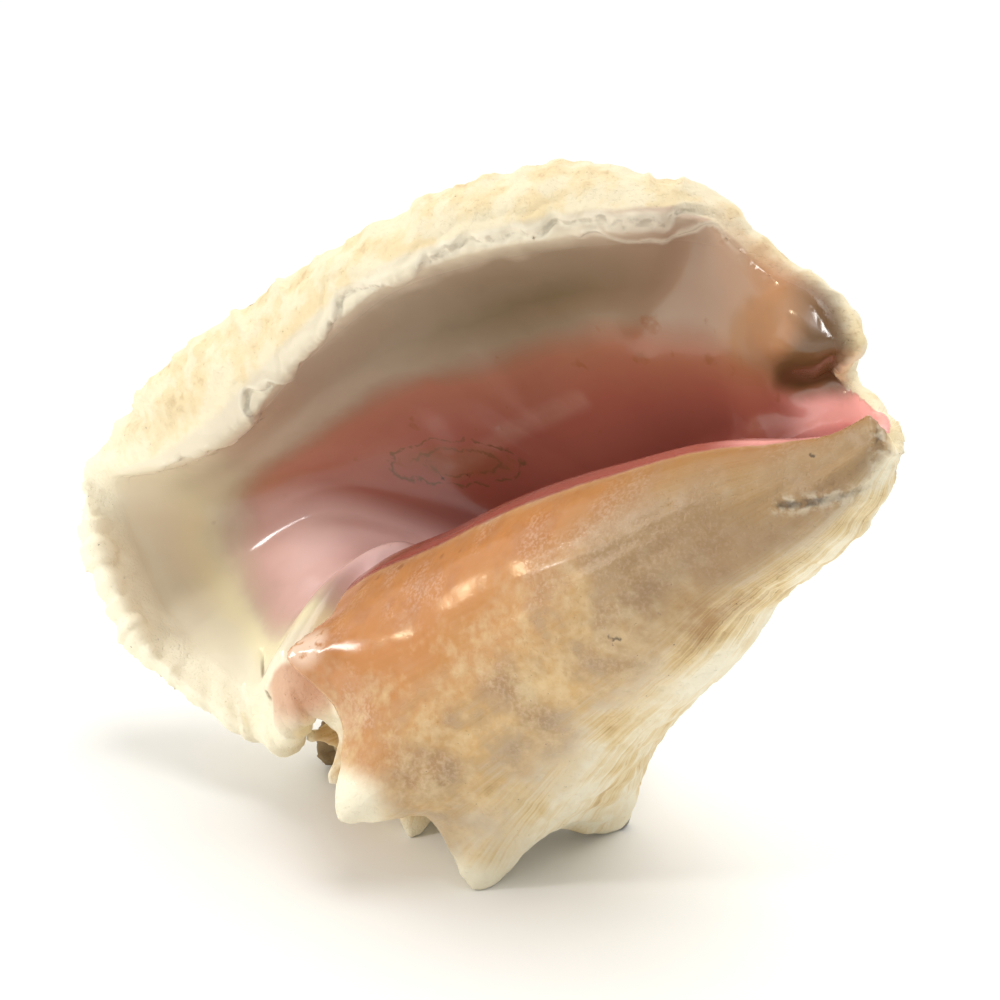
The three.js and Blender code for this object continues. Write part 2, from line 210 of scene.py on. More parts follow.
def shoulder(turn, spiny=True):
    """Size, spine height, radius and place along the axis of the shoulder ridge at a turn."""
    size = growth(turn)
    spine = spine_height(turn) if spiny else np.zeros_like(turn)
    top = SHOULDER_ALONG * size - SPINE_LEAN * spine / SPINE_RISE
    return size, spine, SHOULDER_RADIUS * size, top


def flank_radius(turn, along, spiny):
    size, spine, radius, top = shoulder(turn, spiny)
    share = (along - top) / (SHELL_LENGTH - top)
    back = smooth(215 * DEGREE, 300 * DEGREE, turn)
    front = 1 - smooth(40 * DEGREE, 130 * DEGREE, turn)
    swell = 1 + BACK_SWELL * back * smooth(0.1, 0.45, share)
    outline = mix(curve_through(FLANK_OUTLINE, share), curve_through(COLUMN_OUTLINE, share), front)
    return radius * swell * outline + spine * np.maximum(1 - share / 0.24, 0) ** 2


def coil_radius(angle, along, spiny=True):
    """Radius of the coiled body, from the last whorl's flank down the steps of the spire."""
    turn, along = (np.array(a, float) for a in np.broadcast_arrays(angle, along))
    radius = flank_radius(turn, along, spiny)
    own_size, own_spine, own_radius, own_along = shoulder(turn, spiny)
    left = along < own_along
    for _ in range(MOST_WHORLS):
        size, spine, before_radius, before_along = shoulder(turn - WHORL, spiny)
        ended = left & (own_along <= APEX_ALONG)
        radius = np.where(ended, own_radius, radius)
        left &= ~ended
        tucked = TUCKED_SHARE * before_radius
        suture = SHOULDER_ALONG * size + SUTURE_STEP * own_size
        face = np.clip((along - suture) / (own_along - suture), 0, 1)
        on_face = left & (along >= suture)
        radius = np.where(
            on_face, mix(tucked, own_radius, face**0.85) + own_spine * face**2.2, radius)
        left &= ~on_face
        step = np.clip((along - before_along) / (suture - before_along), 0, 1)
        on_step = left & (along >= before_along)
        radius = np.where(on_step, mix(before_radius + spine, tucked, smooth(0, 1, step)), radius)
        left &= ~on_step
        turn = turn - WHORL
        own_size, own_spine, own_radius, own_along = size, spine, before_radius, before_along
    return radius


def wall_at(along):
    return WALL_THICKNESS * mix(1, 0.5, smooth(SHOULDER_ALONG, SHELL_LENGTH, along))


def core_radius(turn, along, spiny=True):
    """Radius of the column and the earlier whorls inside the last one."""
    inner = turn - WHORL
    top = shoulder(inner, spiny)[3]
    share = (along - top) / (SHELL_LENGTH - top)
    hidden = 1 - smooth(0.75 * WHORL, WHORL, turn)
    return coil_radius(inner, along, spiny) * (1 - 0.45 * hidden * smooth(0.1, 0.5, share))


def body_radius(angle, along):
    lump = APEX_LUMP * np.cos(angle - 45 * DEGREE) * (1 - smooth(8, 20, along))
    outer = np.maximum(coil_radius(angle, along), APEX_RADIUS + lump)
    full_turn = np.full_like(angle, WHORL)
    return mix(outer, core_radius(full_turn, along), smooth(WALL_ENDS, WALL_GONE, angle))


def round_axis(angle, radius, along):
    angle, radius, along = np.broadcast_arrays(angle, radius, along)
    return np.stack([radius * np.cos(angle), radius * np.sin(angle), along], -1)


def body_surface():
    rows = np.concatenate([
        np.arange(APEX_ALONG, 104, 0.8), np.arange(104, SHELL_LENGTH - 0.5, 1.5)])
    steps = BODY_STEPS
    angle, along = np.meshgrid((np.arange(steps) + 0.5) / steps * WHORL, rows)
    points = round_axis(angle, body_radius(angle, along), along).reshape(-1, 3)
    last = (len(rows) - 1) * steps
    count = len(points)
    points = np.vstack([points, [0, 0, APEX_ALONG], [0, 0, SHELL_LENGTH]])
    k = np.arange(steps)
    following = (k + 1) % steps
    i = np.arange(len(rows) - 1)[:, None] * steps
    a, b = (i + k).ravel(), (i + following).ravel()
    triangles = np.vstack([
        np.stack([a, b, b + steps], 1), np.stack([a, b + steps, a + steps], 1),
        np.stack([np.full(steps, count), following, k], 1),
        np.stack([np.full(steps, count + 1), last + k, last + following], 1)])
    return points, triangles


def loft(rings):
    """A closed surface through rings of points; the ends close between a ring's two halves."""
    many, count = rings.shape[:2]
    i = np.arange(many - 1)[:, None] * count
    j = np.arange(count)
    a, b = (i + j).ravel(), (i + (j + 1) % count).ravel()
    half = np.arange(count // 2 - 1)
    across = count - 1 - half
    last = (many - 1) * count
    triangles = np.vstack([
        np.stack([a, b, b + count], 1), np.stack([a, b + count, a + count], 1),
        np.stack([half, across, half + 1], 1), np.stack([half + 1, across, across - 1], 1),
        np.stack([last + half, last + half + 1, last + across], 1),
        np.stack([last + half + 1, last + across - 1, last + across], 1)])
    return rings.reshape(-1, 3), triangles


def hollow_surface():
    turns = np.linspace(HOLLOW_START, HOLLOW_END, 130)[:, None]
    share = np.linspace(0, 1, 61)[None, :]
    narrow = smooth(HOLLOW_START - 10 * DEGREE, HOLLOW_FULL, turns)
    opened = smooth(HOLLOW_OPENS, HOLLOW_OPEN, turns)
    suture = SHOULDER_ALONG * growth(turns - WHORL)
    first = mix(suture, shoulder(turns, False)[3], mix(0.4, -0.1, opened))
    end = mix(HOLLOW_ALONG_END, OPEN_ALONG_END, opened)
    centre = mix(first, end, 0.3)
    along = mix(centre, mix(first, end, share), mix(0.25, 1, narrow))
    turns = np.broadcast_to(turns, along.shape)
    column = core_radius(turns, along, False)
    wall = coil_radius(turns, along, False) - wall_at(along)
    middle = (column + wall) / 2
    lens = mix(0.15, 1, np.sqrt(np.maximum(np.sin(math.pi * share), 0)))
    half = np.maximum((wall - column) / 2, 0.5) * mix(lens, 1, opened) * mix(0.3, 1, narrow)
    inside = round_axis(turns, middle - half, along)
    outside = round_axis(turns, mix(middle + half, OPEN_RADIUS, opened), along)
    return loft(np.concatenate([inside, outside[:, ::-1]], 1))


# The flared lip

def smooth_curves(knots, ts):
    """Centripetal curves through knots[k, curve], at the same shares ts of each curve."""
    knots = np.asarray(knots, float)
    last = len(knots) - 1
    ends = 2 * knots[[0, -1]] - knots[[1, -2]]
    padded = np.concatenate([ends[:1], knots, ends[1:]])
    place = np.clip(np.asarray(ts) * last, 0, last)
    k = np.minimum(place.astype(int), last - 1)
    t = (place - k).reshape((-1,) + (1,) * (knots.ndim - 1))
    p0, p1, p2, p3 = (padded[k + n] for n in range(4))
    step = [np.sqrt(np.maximum(np.linalg.norm(q - p, axis=-1, keepdims=True), 1e-6))
            for p, q in ((p0, p1), (p1, p2), (p2, p3))]
    t1 = (p1 - p0) / step[0] - (p2 - p0) / (step[0] + step[1]) + (p2 - p1) / step[1]
    t2 = (p2 - p1) / step[1] - (p3 - p1) / (step[1] + step[2]) + (p3 - p2) / step[2]
    t1, t2 = t1 * step[1], t2 * step[1]
    return (p1 + t1 * t + (-3 * p1 + 3 * p2 - 2 * t1 - t2) * t**2
            + (2 * p1 - 2 * p2 + t1 + t2) * t**3)


def lip_faces(rounds, acrosses):
    """Inner face, rim and back of the lip, each a grid of points [across, round]."""
    ribs = LIP_RIBS
    count = len(ribs)
    roots = np.array([rib[0] for rib in ribs], float)
    throat, middle, crest, rim = (np.array([rib[k] for rib in ribs], float) for k in (1, 2, 3, 4))
    behind = np.array([rib[5] for rib in ribs], float)[:, None]

    def root_at(depth):
        turn = np.full(count, LIP_ROOT)
        return round_axis(turn, coil_radius(turn, roots, False) - depth * wall_at(roots), roots)

    face = [root_at(INNER_ROOT_DEPTH), throat, middle, crest, rim]

    def backwards(k):
        n = np.arange(count)
        around = face[k][np.minimum(n + 1, count - 1)] - face[k][np.maximum(n - 1, 0)]
        across = face[min(k + 1, 4)] - face[k - 1]
        out = np.cross(across, around)
        return out / np.linalg.norm(out, axis=1, keepdims=True)

    thickness = (LIP_THICKNESS * mix(1, THINNEST, smooth(THIN_FROM, THIN_TO, roots)))[:, None]
    back = [root_at(OUTER_ROOT_DEPTH), throat + backwards(1) * thickness,
            middle + backwards(2) * thickness * mix(1.5, 1, behind / 7),
            rim + backwards(4) * behind]
    inner_knots = smooth_curves(np.stack(face[:4], 1), rounds).swapaxes(0, 1)
    back_knots = smooth_curves(np.stack(back, 1), rounds).swapaxes(0, 1)
    rim_line = smooth_curves(rim, rounds)
    inner = smooth_curves(inner_knots, acrosses)
    outer = smooth_curves(back_knots, acrosses)
    edge = mix(inner[-1], rim_line, RIM_SHARE)
    outwards = edge - inner_knots[2]
    outwards /= np.linalg.norm(outwards, axis=1, keepdims=True)
    edge = edge + outwards * RIM_BULGE * np.linalg.norm(inner[-1] - rim_line, axis=1, keepdims=True)
    rim_knots = np.stack([inner[-1], edge, rim_line, outer[-1]])
    rounding = smooth_curves(rim_knots, np.linspace(0, 1, 13))
    return inner, rounding, outer


LIP_ROUNDS = np.linspace(0, 1, (len(LIP_RIBS) - 1) * 12 + 1)
LIP_ACROSS = np.linspace(0, 1, 41)
lip_inner, lip_rounding, lip_back = lip_faces(LIP_ROUNDS, LIP_ACROSS)


def lip_surface():
    rings = np.concatenate([lip_inner, lip_rounding[1:-1], lip_back[::-1]])
    if len(rings) % 2:
        rings = np.delete(rings, len(lip_inner), axis=0)
    return loft(rings.swapaxes(0, 1))


# Joining the three into one skin

def placed(points):
    """Points of the shell's own frame in the lying position."""
    return points @ np.array([SIDE, FRONT, ALONG]) + SHELL_ORIGIN


def volume(points, triangles):
    a, b, c = (points[triangles[:, k]] for k in range(3))
    return np.einsum("ij,ij->i", a, np.cross(b, c)).sum() / 6


LOW = np.array([-118.0, -90.0, -14.0])
HIGH = np.array([118.0, 90.0, 188.0])


def distance_field(surface):
    points, triangles = surface
    points = placed(points)
    if volume(points, triangles) < 0:
        triangles = triangles[:, ::-1]
    grid = openvdb.FloatGrid.createLevelSetFromPolygons(
        np.ascontiguousarray(points, np.float32),
        triangles=np.ascontiguousarray(triangles, np.uint32),
        transform=openvdb.createLinearTransform(VOXEL), halfWidth=BAND / VOXEL)
    low = np.floor(LOW / VOXEL).astype(int)
    field = np.zeros(np.ceil((HIGH - LOW) / VOXEL).astype(int), np.float32)
    grid.copyToArray(field, ijk=tuple(int(n) for n in low))
    return field


def soft_min(a, b, softness):
    near = np.maximum(softness - np.abs(a - b), 0) / softness
    return np.minimum(a, b) - near * near * softness / 4


def skin():
    body = distance_field(body_surface())
    hollow = distance_field(hollow_surface())
    lip = distance_field(lip_surface())
    open_body = -soft_min(-body, hollow, MOUTH_EDGE)
    whole = soft_min(open_body, lip, LIP_BLEND)
    height = (np.floor(LOW[2] / VOXEL) + np.arange(whole.shape[2])) * VOXEL
    whole = np.maximum(whole, -height[None, None, :].astype(np.float32))
    joined = openvdb.FloatGrid(BAND)
    joined.transform = openvdb.createLinearTransform(VOXEL)
    low = np.floor(LOW / VOXEL).astype(int)
    joined.copyFromArray(np.ascontiguousarray(whole, np.float32), ijk=tuple(int(n) for n in low))
    points, quads = joined.convertToQuads(0.0)
    points = points.astype(float)
    if volume(points, quads[:, :3]) < 0:
        quads = quads[:, ::-1]
    return points, quads


def largest_piece(points, quads):
    """Leaves out loose crumbs that are not joined to the skin."""
    label = np.arange(len(points))
    for _ in range(200):
        lowest = label[quads].min(axis=1)
        new = label.copy()
        for k in range(4):
            np.minimum.at(new, quads[:, k], lowest)
        new = new[new]
        if np.array_equal(new, label):
            break
        label = new
    kept_label = np.bincount(label).argmax()
    kept = label == kept_label
    number = np.cumsum(kept) - 1
    return points[kept], number[quads[kept[quads[:, 0]]]]


def make_mesh(name, points, faces):
    mesh = bpy.data.meshes.new(name)
    mesh.vertices.add(len(points))
    mesh.vertices.foreach_set("co", (points * MM).astype(np.float32).ravel())
    mesh.loops.add(faces.size)
    mesh.loops.foreach_set("vertex_index", faces.astype(np.int32).ravel())
    mesh.polygons.add(len(faces))
    starts = np.arange(0, faces.size, faces.shape[1], dtype=np.int32)
    mesh.polygons.foreach_set("loop_start", starts)
    mesh.update(calc_edges=True)
    mesh.validate()
    mesh.shade_smooth()
    return mesh


# Places on the shell, which the relief and the colours follow

def own_frame(points):
    """Points in the shell's own frame, their angle round the axis and distance from it."""
    local = (points - SHELL_ORIGIN) @ np.array([SIDE, FRONT, ALONG]).T
    return local, np.arctan2(local[:, 1], local[:, 0]) % WHORL, np.hypot(local[:, 0], local[:, 1])


def lip_grid():
    """The lip's surface as a grid of points, and at each of them the share of the way round, the
    share across (0 at the root, 1 at the crest, 2 at the back of the rim, 3 at the root behind),
    the way round along the rim and the way outwards from the crest, both in millimetres."""
    surface = np.concatenate([lip_inner, lip_rounding[1:], lip_back[-2::-1]])
    across = np.concatenate([
        LIP_ACROSS, 1 + np.linspace(0, 1, len(lip_rounding))[1:],
        2 + np.linspace(0, 1, len(lip_back))[1:]])
    outwards = np.linalg.norm(np.diff(surface, axis=0), axis=2).cumsum(0)
    outwards = np.concatenate([np.zeros_like(outwards[:1]), outwards])
    outwards -= outwards[len(lip_inner) - 1]
    rim_line = lip_rounding[len(lip_rounding) // 2]
    around = np.linalg.norm(np.diff(rim_line, axis=0), axis=1).cumsum()
    around = np.concatenate([[0], around])
    places = np.broadcast_arrays(LIP_ROUNDS[None], across[:, None], around[None], outwards)
    return surface, np.stack(places, -1)


def lip_places(local):
    """The values of lip_grid at the nearest place on the lip, and the distance from it."""
    surface, places = lip_grid()
    rows, rounds = surface.shape[:2]
    i, j = np.meshgrid(np.arange(rows - 1), np.arange(rounds - 1), indexing="ij")
    a = (i * rounds + j).ravel()
    triangles = np.concatenate([
        np.stack([a, a + 1, a + rounds + 1], 1), np.stack([a, a + rounds + 1, a + rounds], 1)])
    surface, places = surface.reshape(-1, 3), places.reshape(-1, 4)
    tree = BVHTree.FromPolygons(surface.tolist(), triangles.tolist())
    near = [tree.find_nearest(point) for point in local.tolist()]
    spot = np.array([hit[0] for hit in near])
    corners = triangles[[hit[2] for hit in near]]
    gap = np.array([hit[3] for hit in near])
    a, b, c = (surface[corners[:, k]] for k in range(3))
    ab, ac, ap = b - a, c - a, spot - a
    bb, bc, cc, pb, pc = (np.einsum("ij,ij->i", *pair) for pair in (
        (ab, ab), (ab, ac), (ac, ac), (ap, ab), (ap, ac)))
    area = np.maximum(bb * cc - bc * bc, 1e-9)
    v = np.clip((cc * pb - bc * pc) / area, 0, 1)
    w = np.clip((bb * pc - bc * pb) / area, 0, 1)
    weights = np.stack([1 - v - w, v, w], 1)[:, :, None]
    return (places[corners] * weights).sum(1).T, gap


def line_distance(local, line):
    """Distance from a line through points."""
    line = np.array(line, float)
    nearest = np.full(len(local), np.inf)
    for start, end in zip(line, line[1:]):
        way = end - start
        share = np.clip(((local - start) @ way) / (way @ way), 0, 1)
        nearest = np.minimum(nearest, np.linalg.norm(local - start - share[:, None] * way, axis=1))
    return nearest


# Noise in space, the same on every run

def lattice(cell, seed):
    """A fixed value from 0 to 1 for each cell."""
    x, y, z = (cell[..., k].astype(np.int64) for k in range(3))
    mixed = (x * 73856093) ^ (y * 19349663) ^ (z * 83492791) ^ (seed * 2654435761)
    mixed = ((mixed ^ (mixed >> 13)) * 1274126177) & 0xFFFFFFFF
    return ((mixed ^ (mixed >> 16)) & 0xFFFF) / 65535


def noise(place, size, seed):
    """Smooth lumps from -1 to 1, about size apart; size may differ by direction."""
    place = place / np.asarray(size, float)
    cell = np.floor(place)
    part = place - cell
    part = part * part * (3 - 2 * part)
    total = np.zeros(len(place))
    for corner in np.ndindex(2, 2, 2):
        total += np.prod(np.where(corner, part, 1 - part), -1) * lattice(cell + corner, seed)
    return 2 * total - 1


def layered(place, size, seed, layers=3):
    return sum(noise(place, np.asarray(size) / 2**k, seed + k) / 2**k for k in range(layers))


def ridge(distance, width):
    return np.exp(-(distance / width)**2)


# Where marks of the surface lie, in the shell's own frame: lines, points, and spots with a size
CANAL_CRACK = [(-0.4, 13.5, 190.6), (-1.9, 12.9, 193.1), (-4.8, 11, 199.2), (-6.1, 9.2, 202.4),
               (-7.3, 5.5, 206.1), (-5.3, 4.9, 208.5), (-1, 4.9, 211.6), (1.2, 2.9, 212.4)]
LIP_SEAM = [(36.7, 15.1, 22.5), (31, 21, 26), (24, 28.4, 31.7)]
NOSE_CREASE = [(60, -26, 192), (54, -25, 182), (44.6, -29.2, 156.8)]
PALE_STREAK = [(47, -41, 71.1), (46, -38, 100), (41.8, -35.8, 126.6)]
KNOB, KNOB_FOOT = (30.8, 35.5, 67.3), (26, 27, 45)
NOSE_HEART = (22, -17, 200)
SCAR_HEART, SCAR_LONG, SCAR_WIDE = (48, -39.1, 74.7), (-11.1, -1.5, 19.3), (6.4, 1.5, 3.7)
DARK_MARKS = [(-5.8, 26.5, 143.9, 1.0), (-6.6, 26, 145.5, 0.9), (4.3, 6.2, 198.4, 0.6),
              (3.6, 6.6, 199.6, 0.5), (-58, -10.3, 76.4, 3.0), (52.4, -39.9, 65.2, 1.0),
              (46.4, -40.4, 66.1, 1.4), (43.3, -41.6, 74.3, 1.2), (37.8, -41.4, 88.1, 1.0)]
RUST_MARKS = [(46, -28.3, 162.1, 3.0), (40.8, -30.6, 152.6, 2.4), (31.2, -27.8, 170.5, 2.2),
              (37.7, -26.7, 176.5, 1.8), (26.7, -27.1, 173.7, 1.6), (33.8, 9, 51, 1.6),
              (34.2, 17.4, 75.2, 1.4), (34.0, 15.5, 82, 1.3), (33.6, 14.5, 89.6, 1.5),
              (30, 16.9, 106, 1.4), (28.8, 17.5, 113, 1.3), (27.6, 18.1, 120, 1.4)]
# Angle in degrees where the orange glaze ends, by the place along the axis
GLAZE_END = [(50, 82), (95, 76), (130, 63), (160, 46), (190, 36), (215, 36)]
# Share across the lip where the beige of its face, darkened as painted shade, turns to salmon, by
# the share round it
SALMON_EDGE = [(0, 0.8), (0.12, 0.76), (0.16, 0.72), (0.2, 0.68), (0.25, 0.65), (0.43, 0.54),
               (0.54, 0.44), (0.655, 0.5), (0.71, 0.5), (0.78, 0.5), (0.84, 0.6), (1, 1.2)]


def flat_place(x, y=0.0):
    """Places for noise that vary in one or two directions only."""
    return np.stack(np.broadcast_arrays(x, y, 0.0), 1)


def mark_strength(local, marks):
    """1 at the heart of the nearest mark, 0 at twice its size."""
    strength = np.zeros(len(local))
    for *heart, size in marks:
        away = np.linalg.norm(local - heart, axis=1)
        strength = np.maximum(strength, 1 - away / (2 * size))
    return strength


def surface_fields(points):
    """Places and masks of the surface at points, as a dictionary of arrays."""
    local, angle, radius = own_frame(points)
    (round_share, across, around, outwards), gap = lip_places(local)
    along, degrees = local[:, 2], angle / DEGREE
    on_lip = 1 - smooth(2.5, 6, gap)
    plain = coil_radius(angle, along, False)
    spiny = coil_radius(angle, along)
    facing_out = smooth(12, 26, degrees) * (1 - smooth(326, 334, degrees))
    facing_out = np.maximum(facing_out, 1 - smooth(50, 60, along))
    body_outside = smooth(-3.5, -1.5, radius - spiny) * facing_out
    lip_outside = smooth(1.0, 1.2, across)
    outside = mix(body_outside, lip_outside, on_lip)
    spine_share = np.clip((radius - plain) / (SPINE_RISE * growth(angle)), 0, 1)
    tip = smooth(0.4, 0.85, spine_share) * smooth(62, 80, degrees) * body_outside * (1 - on_lip)
    edge = curve_through(SALMON_EDGE, round_share)
    tone_lip = np.where(
        across > edge, 0.5 * np.clip((1 - across) / np.maximum(1 - edge, 0.02), 0, 1),
        0.5 + 0.5 * np.clip((edge - across) / np.minimum(edge, 1), 0, 1))
    tone = mix(1, tone_lip, on_lip * smooth(0.02, 0.12, across))
    lilac = (1 - smooth(0.2, 0.33, round_share)) * on_lip * (1 - lip_outside)
    scar_u, scar_v = ((local - SCAR_HEART) @ np.array(axis) / np.dot(axis, axis)
                      for axis in (SCAR_LONG, SCAR_WIDE))
    drift = 16 * noise(local, 26, 14) + 8 * noise(local, 11, 15)
    past_glaze = degrees - curve_through(GLAZE_END, along) + drift
    glaze = (1 - smooth(-25, 30, past_glaze)) * smooth(46, 62, along) * body_outside
    callus = (1 - smooth(105, 150, degrees)) * smooth(60, 80, along) * body_outside
    nose = smooth(0.69, 0.79, round_share) * on_lip * smooth(0.3, 0.6, across)
    nose *= (1 - smooth(0.9, 0.97, round_share)) * (1 - smooth(1.12, 1.5, across))
    # Under the swelling and past it: its olive brown, darkened further as painted shade under the
    # overhang
    shade_under_nose = smooth(0.75, 0.855, round_share + 0.06 * noise(local, 14, 16)) * on_lip
    canal = smooth(176, 190, along) * (1 - outside) * (1 - nose) * (1 - smooth(20, 32, radius))
    spire = (1 - smooth(60, 80, along)) * body_outside * (1 - on_lip)
    rim_way = flat_place(around)
    rim_wobble = 3.2 * noise(rim_way, 17, 11) + 1.8 * noise(rim_way, 5.5, 12)
    rim_wobble += 1.4 * smooth(-0.3, 0.3, noise(rim_way, 10, 17)) + 0.9 * noise(local, 2.6, 13)
    flake = outwards + 0.5 - rim_wobble
    second = flake + 4.5 + 2.5 * noise(rim_way, 13, 46) + 0.8 * noise(rim_way, 4, 49)
    patchy = smooth(-0.3, 0.1, noise(rim_way, 24, 47))
    rim = smooth(0.31, 0.38, round_share) * (1 - smooth(0.7, 0.75, round_share)) * on_lip
    return {
        "local": local, "degrees": degrees, "round": round_share,
        "across": across, "around": around, "outwards": outwards, "on_lip": on_lip,
        "outside": outside, "tip": tip, "tone": tone, "lilac": lilac, "glaze": glaze,
        "callus": callus, "nose": nose, "shade_under_nose": shade_under_nose, "canal": canal, "spire": spire,
        "rim": rim, "flake": flake, "second": second, "patchy": patchy,
        "crack": line_distance(local, CANAL_CRACK), "seam": line_distance(local, LIP_SEAM),
        "streak": line_distance(local, PALE_STREAK),
        "knob": np.linalg.norm(local - KNOB, axis=1),
        "knob_foot": np.linalg.norm(local - KNOB_FOOT, axis=1),
        "scar": np.hypot(scar_u, scar_v) + 9 * outside,
        "dark_marks": mark_strength(local, DARK_MARKS),
        "rust_marks": mark_strength(local, RUST_MARKS),
        "far": smooth(125, 180, along), "apex": 1 - smooth(14, 26, along),
        "turned": degrees * DEGREE * SHOULDER_RADIUS,
    }


def relief(points):
    """Height of the fine relief over the smooth skin."""
    f = surface_fields(points)
    local, along, around, outwards = f["local"], f["local"][:, 2], f["around"], f["outwards"]
    rim_way, lip_sheet = flat_place(around), flat_place(around, outwards)

    # Growth lines, cords, lumps and pits of the bare body
    body = f["outside"] * (1 - f["on_lip"])
    bare = body * (1 - 0.8 * f["glaze"]) * (1 - 0.4 * f["callus"])
    turned = f["turned"] + 2.5 * noise(local, 25, 21)
    lines = layered(flat_place(turned, along), (3.4, 55, 1), 22, 2)
    height = 0.34 * bare * lines
    cords = np.cos(WHORL * (along + 1.5 * noise(local, 30, 24)) / CORD_SPACING)
    at_back = smooth(110, 170, f["degrees"]) * bare
    height += 0.3 * cords * at_back * smooth(-0.6, 0.6, noise(local, 30, 25))
    height += bare * 0.5 * layered(local, 16, 26, 2)
    eaten = smooth(0.12, 0.24, layered(local, 20, 28))
    height -= 0.3 * eaten * bare
    height -= 0.35 * bare * smooth(0.35, 0.8, noise(local, 2.8, 31))

    # Dents and ripples of the glossy callus, the knob's pits and the worn apex
    height += 0.42 * f["callus"] * noise(local, 15, 33) + 0.18 * f["callus"] * noise(local, 7, 34)
    dents = noise(flat_place(turned, along + 0.4 * turned), (6, 20, 1), 38)
    height += 0.42 * f["callus"] * smooth(52, 72, f["degrees"]) * dents
    height -= 0.45 * ridge(f["knob"], 8) * smooth(0.1, 0.7, noise(local, 2.4, 35))
    rough_apex = f["apex"] * body
    height += 1.6 * rough_apex * layered(local, 5.5, 36)

    # The lip's inner face, and the swelling at its end
    inner = f["on_lip"] * (1 - f["outside"])
    height += 0.25 * inner * noise(lip_sheet, (17, 90, 1), 41)
    near_crest = inner * smooth(-30, -4, outwards)
    height += 0.3 * near_crest * noise(lip_sheet, (9, 26, 1), 42)
    height += 0.2 * inner * ridge(f["streak"], 5)
    height += 2.2 * f["on_lip"] * ridge(np.linalg.norm(local - NOSE_HEART, axis=1), 14)
    height -= 1.3 * f["nose"] * ridge(outwards, 3.5)

    # Growth lines and broad folds on the back of the lip
    back = f["on_lip"] * smooth(1.9, 2.2, f["across"])
    height += 0.35 * back * layered(lip_sheet, (45, 3.6, 1), 43, 2)
    height += 0.55 * back * np.cos(WHORL * (around + 3 * noise(local, 30, 44)) / FOLD_SPACING)
    height += 0.3 * back * layered(local, 9, 45, 2)

    # Flaky ledges along the edge of the lip's face
    flake, second, patchy = f["flake"], f["second"], f["patchy"]
    ledge = 1.9 * smooth(-0.5, 0.5, flake) * (1 - smooth(5, 19, flake))
    ledge += 0.8 * smooth(-0.4, 0.4, second) * (1 - smooth(3, 9, second)) * patchy
    third = flake - 5 + 2 * noise(rim_way, 9, 48)
    ledge -= 0.5 * ridge(third, 0.8) * (1 - patchy)
    height += f["rim"] * (ledge - 0.6 * ridge(flake, 0.7))

    # The scalloped and toothed rim
    margin = f["on_lip"] * smooth(1.15, 1.5, f["across"]) * (1 - smooth(2.05, 2.4, f["across"]))
    margin *= (1 - smooth(0.9, 0.97, f["round"])) * (1 - 0.6 * smooth(0.7, 0.76, f["round"]))
    scallops = noise(rim_way, 9, 51) + 0.6 * noise(rim_way, 4, 52)
    posterior = 1 + 0.7 * (1 - smooth(0.36, 0.45, f["round"]))
    height += 0.75 * margin * scallops * posterior
    height += 0.8 * margin * smooth(0.3, 0.75, noise(rim_way, 3.6, 57)) * posterior
    height += 0.5 * f["on_lip"] * smooth(0.97, 1.3, f["across"]) * layered(local, 4.5, 53)

    # Crease and crust of the swelling, the crack and the seam
    height -= 0.7 * ridge(line_distance(local, NOSE_CREASE), 4)
    jagged = f["nose"] * smooth(1.0, 1.3, f["across"])
    height += 0.5 * jagged * layered(local, 4, 55)
    height -= 0.9 * ridge(f["crack"], 1.0)
    height -= 0.8 * ridge(f["seam"], 1.0)
    return height


def with_relief(points, faces):
    """Points moved along their normals by the relief, none of them below the table."""
    normals = np.zeros_like(points)
    diagonals = points[faces[:, 2]] - points[faces[:, 0]], points[faces[:, 3]] - points[faces[:, 1]]
    facing = np.cross(*diagonals)
    for k in range(4):
        for axis in range(3):
            normals[:, axis] += np.bincount(faces[:, k], facing[:, axis], len(points))
    normals /= np.maximum(np.linalg.norm(normals, axis=1, keepdims=True), 1e-9)
    height = relief(points) * smooth(0.2, 4, points[:, 2])
    moved = points + normals * height[:, None]
    moved[:, 2] = np.maximum(moved[:, 2], 0)
    return moved


def thinned(mesh, most):
    """The mesh with no more than so many triangles."""
    triangles = sum(len(face.vertices) - 2 for face in mesh.polygons)
    if triangles <= most:
        return mesh
    dense = bpy.data.objects.new("dense", mesh)
    bpy.context.scene.collection.objects.link(dense)
    fewer = dense.modifiers.new("fewer", "DECIMATE")
    fewer.ratio = most / triangles
    seen = dense.evaluated_get(bpy.context.evaluated_depsgraph_get())
    fewer_faces = bpy.data.meshes.new_from_object(seen)
    bpy.data.objects.remove(dense)
    bpy.data.meshes.remove(mesh)
    fewer_faces.name = "shell_skin"
    fewer_faces.shade_smooth()
    return fewer_faces


points, quads = largest_piece(*skin())
points = with_relief(points, quads)
shell_mesh = thinned(make_mesh("shell_skin", points, quads), MOST_TRIANGLES)
shell = bpy.data.objects.new("shell_skin", shell_mesh)
bpy.context.scene.collection.objects.link(shell)
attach(shell, "root")
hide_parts("conch_shell")

corner_points = np.empty(len(shell_mesh.vertices) * 3, np.float32)
shell_mesh.vertices.foreach_get("co", corner_points)
corner_points[2::3] = np.maximum(corner_points[2::3], 0)
shell_mesh.vertices.foreach_set("co", corner_points)
shell_mesh.update()
skin_fields = surface_fields(corner_points.reshape(-1, 3).astype(float) / MM)
FIELDS = ("outside", "tip", "tone", "lilac", "glaze", "callus", "nose", "shade_under_nose", "canal",
          "spire", "rim", "flake", "crack", "seam", "streak", "knob", "apex", "turned",
          "outwards", "on_lip", "across", "degrees", "round", "second", "patchy", "scar",
          "dark_marks", "rust_marks", "far", "knob_foot")
for name in FIELDS:
    layer = shell_mesh.attributes.new(name, "FLOAT", "POINT")
    layer.data.foreach_set("value", skin_fields[name].astype(np.float32))


# The material: named colours laid over each other by the masks, all broken up by noise

material = bpy.data.materials.new("shell_surface")
material.use_nodes = True
tree = material.node_tree
shader = tree.nodes["Principled BSDF"]


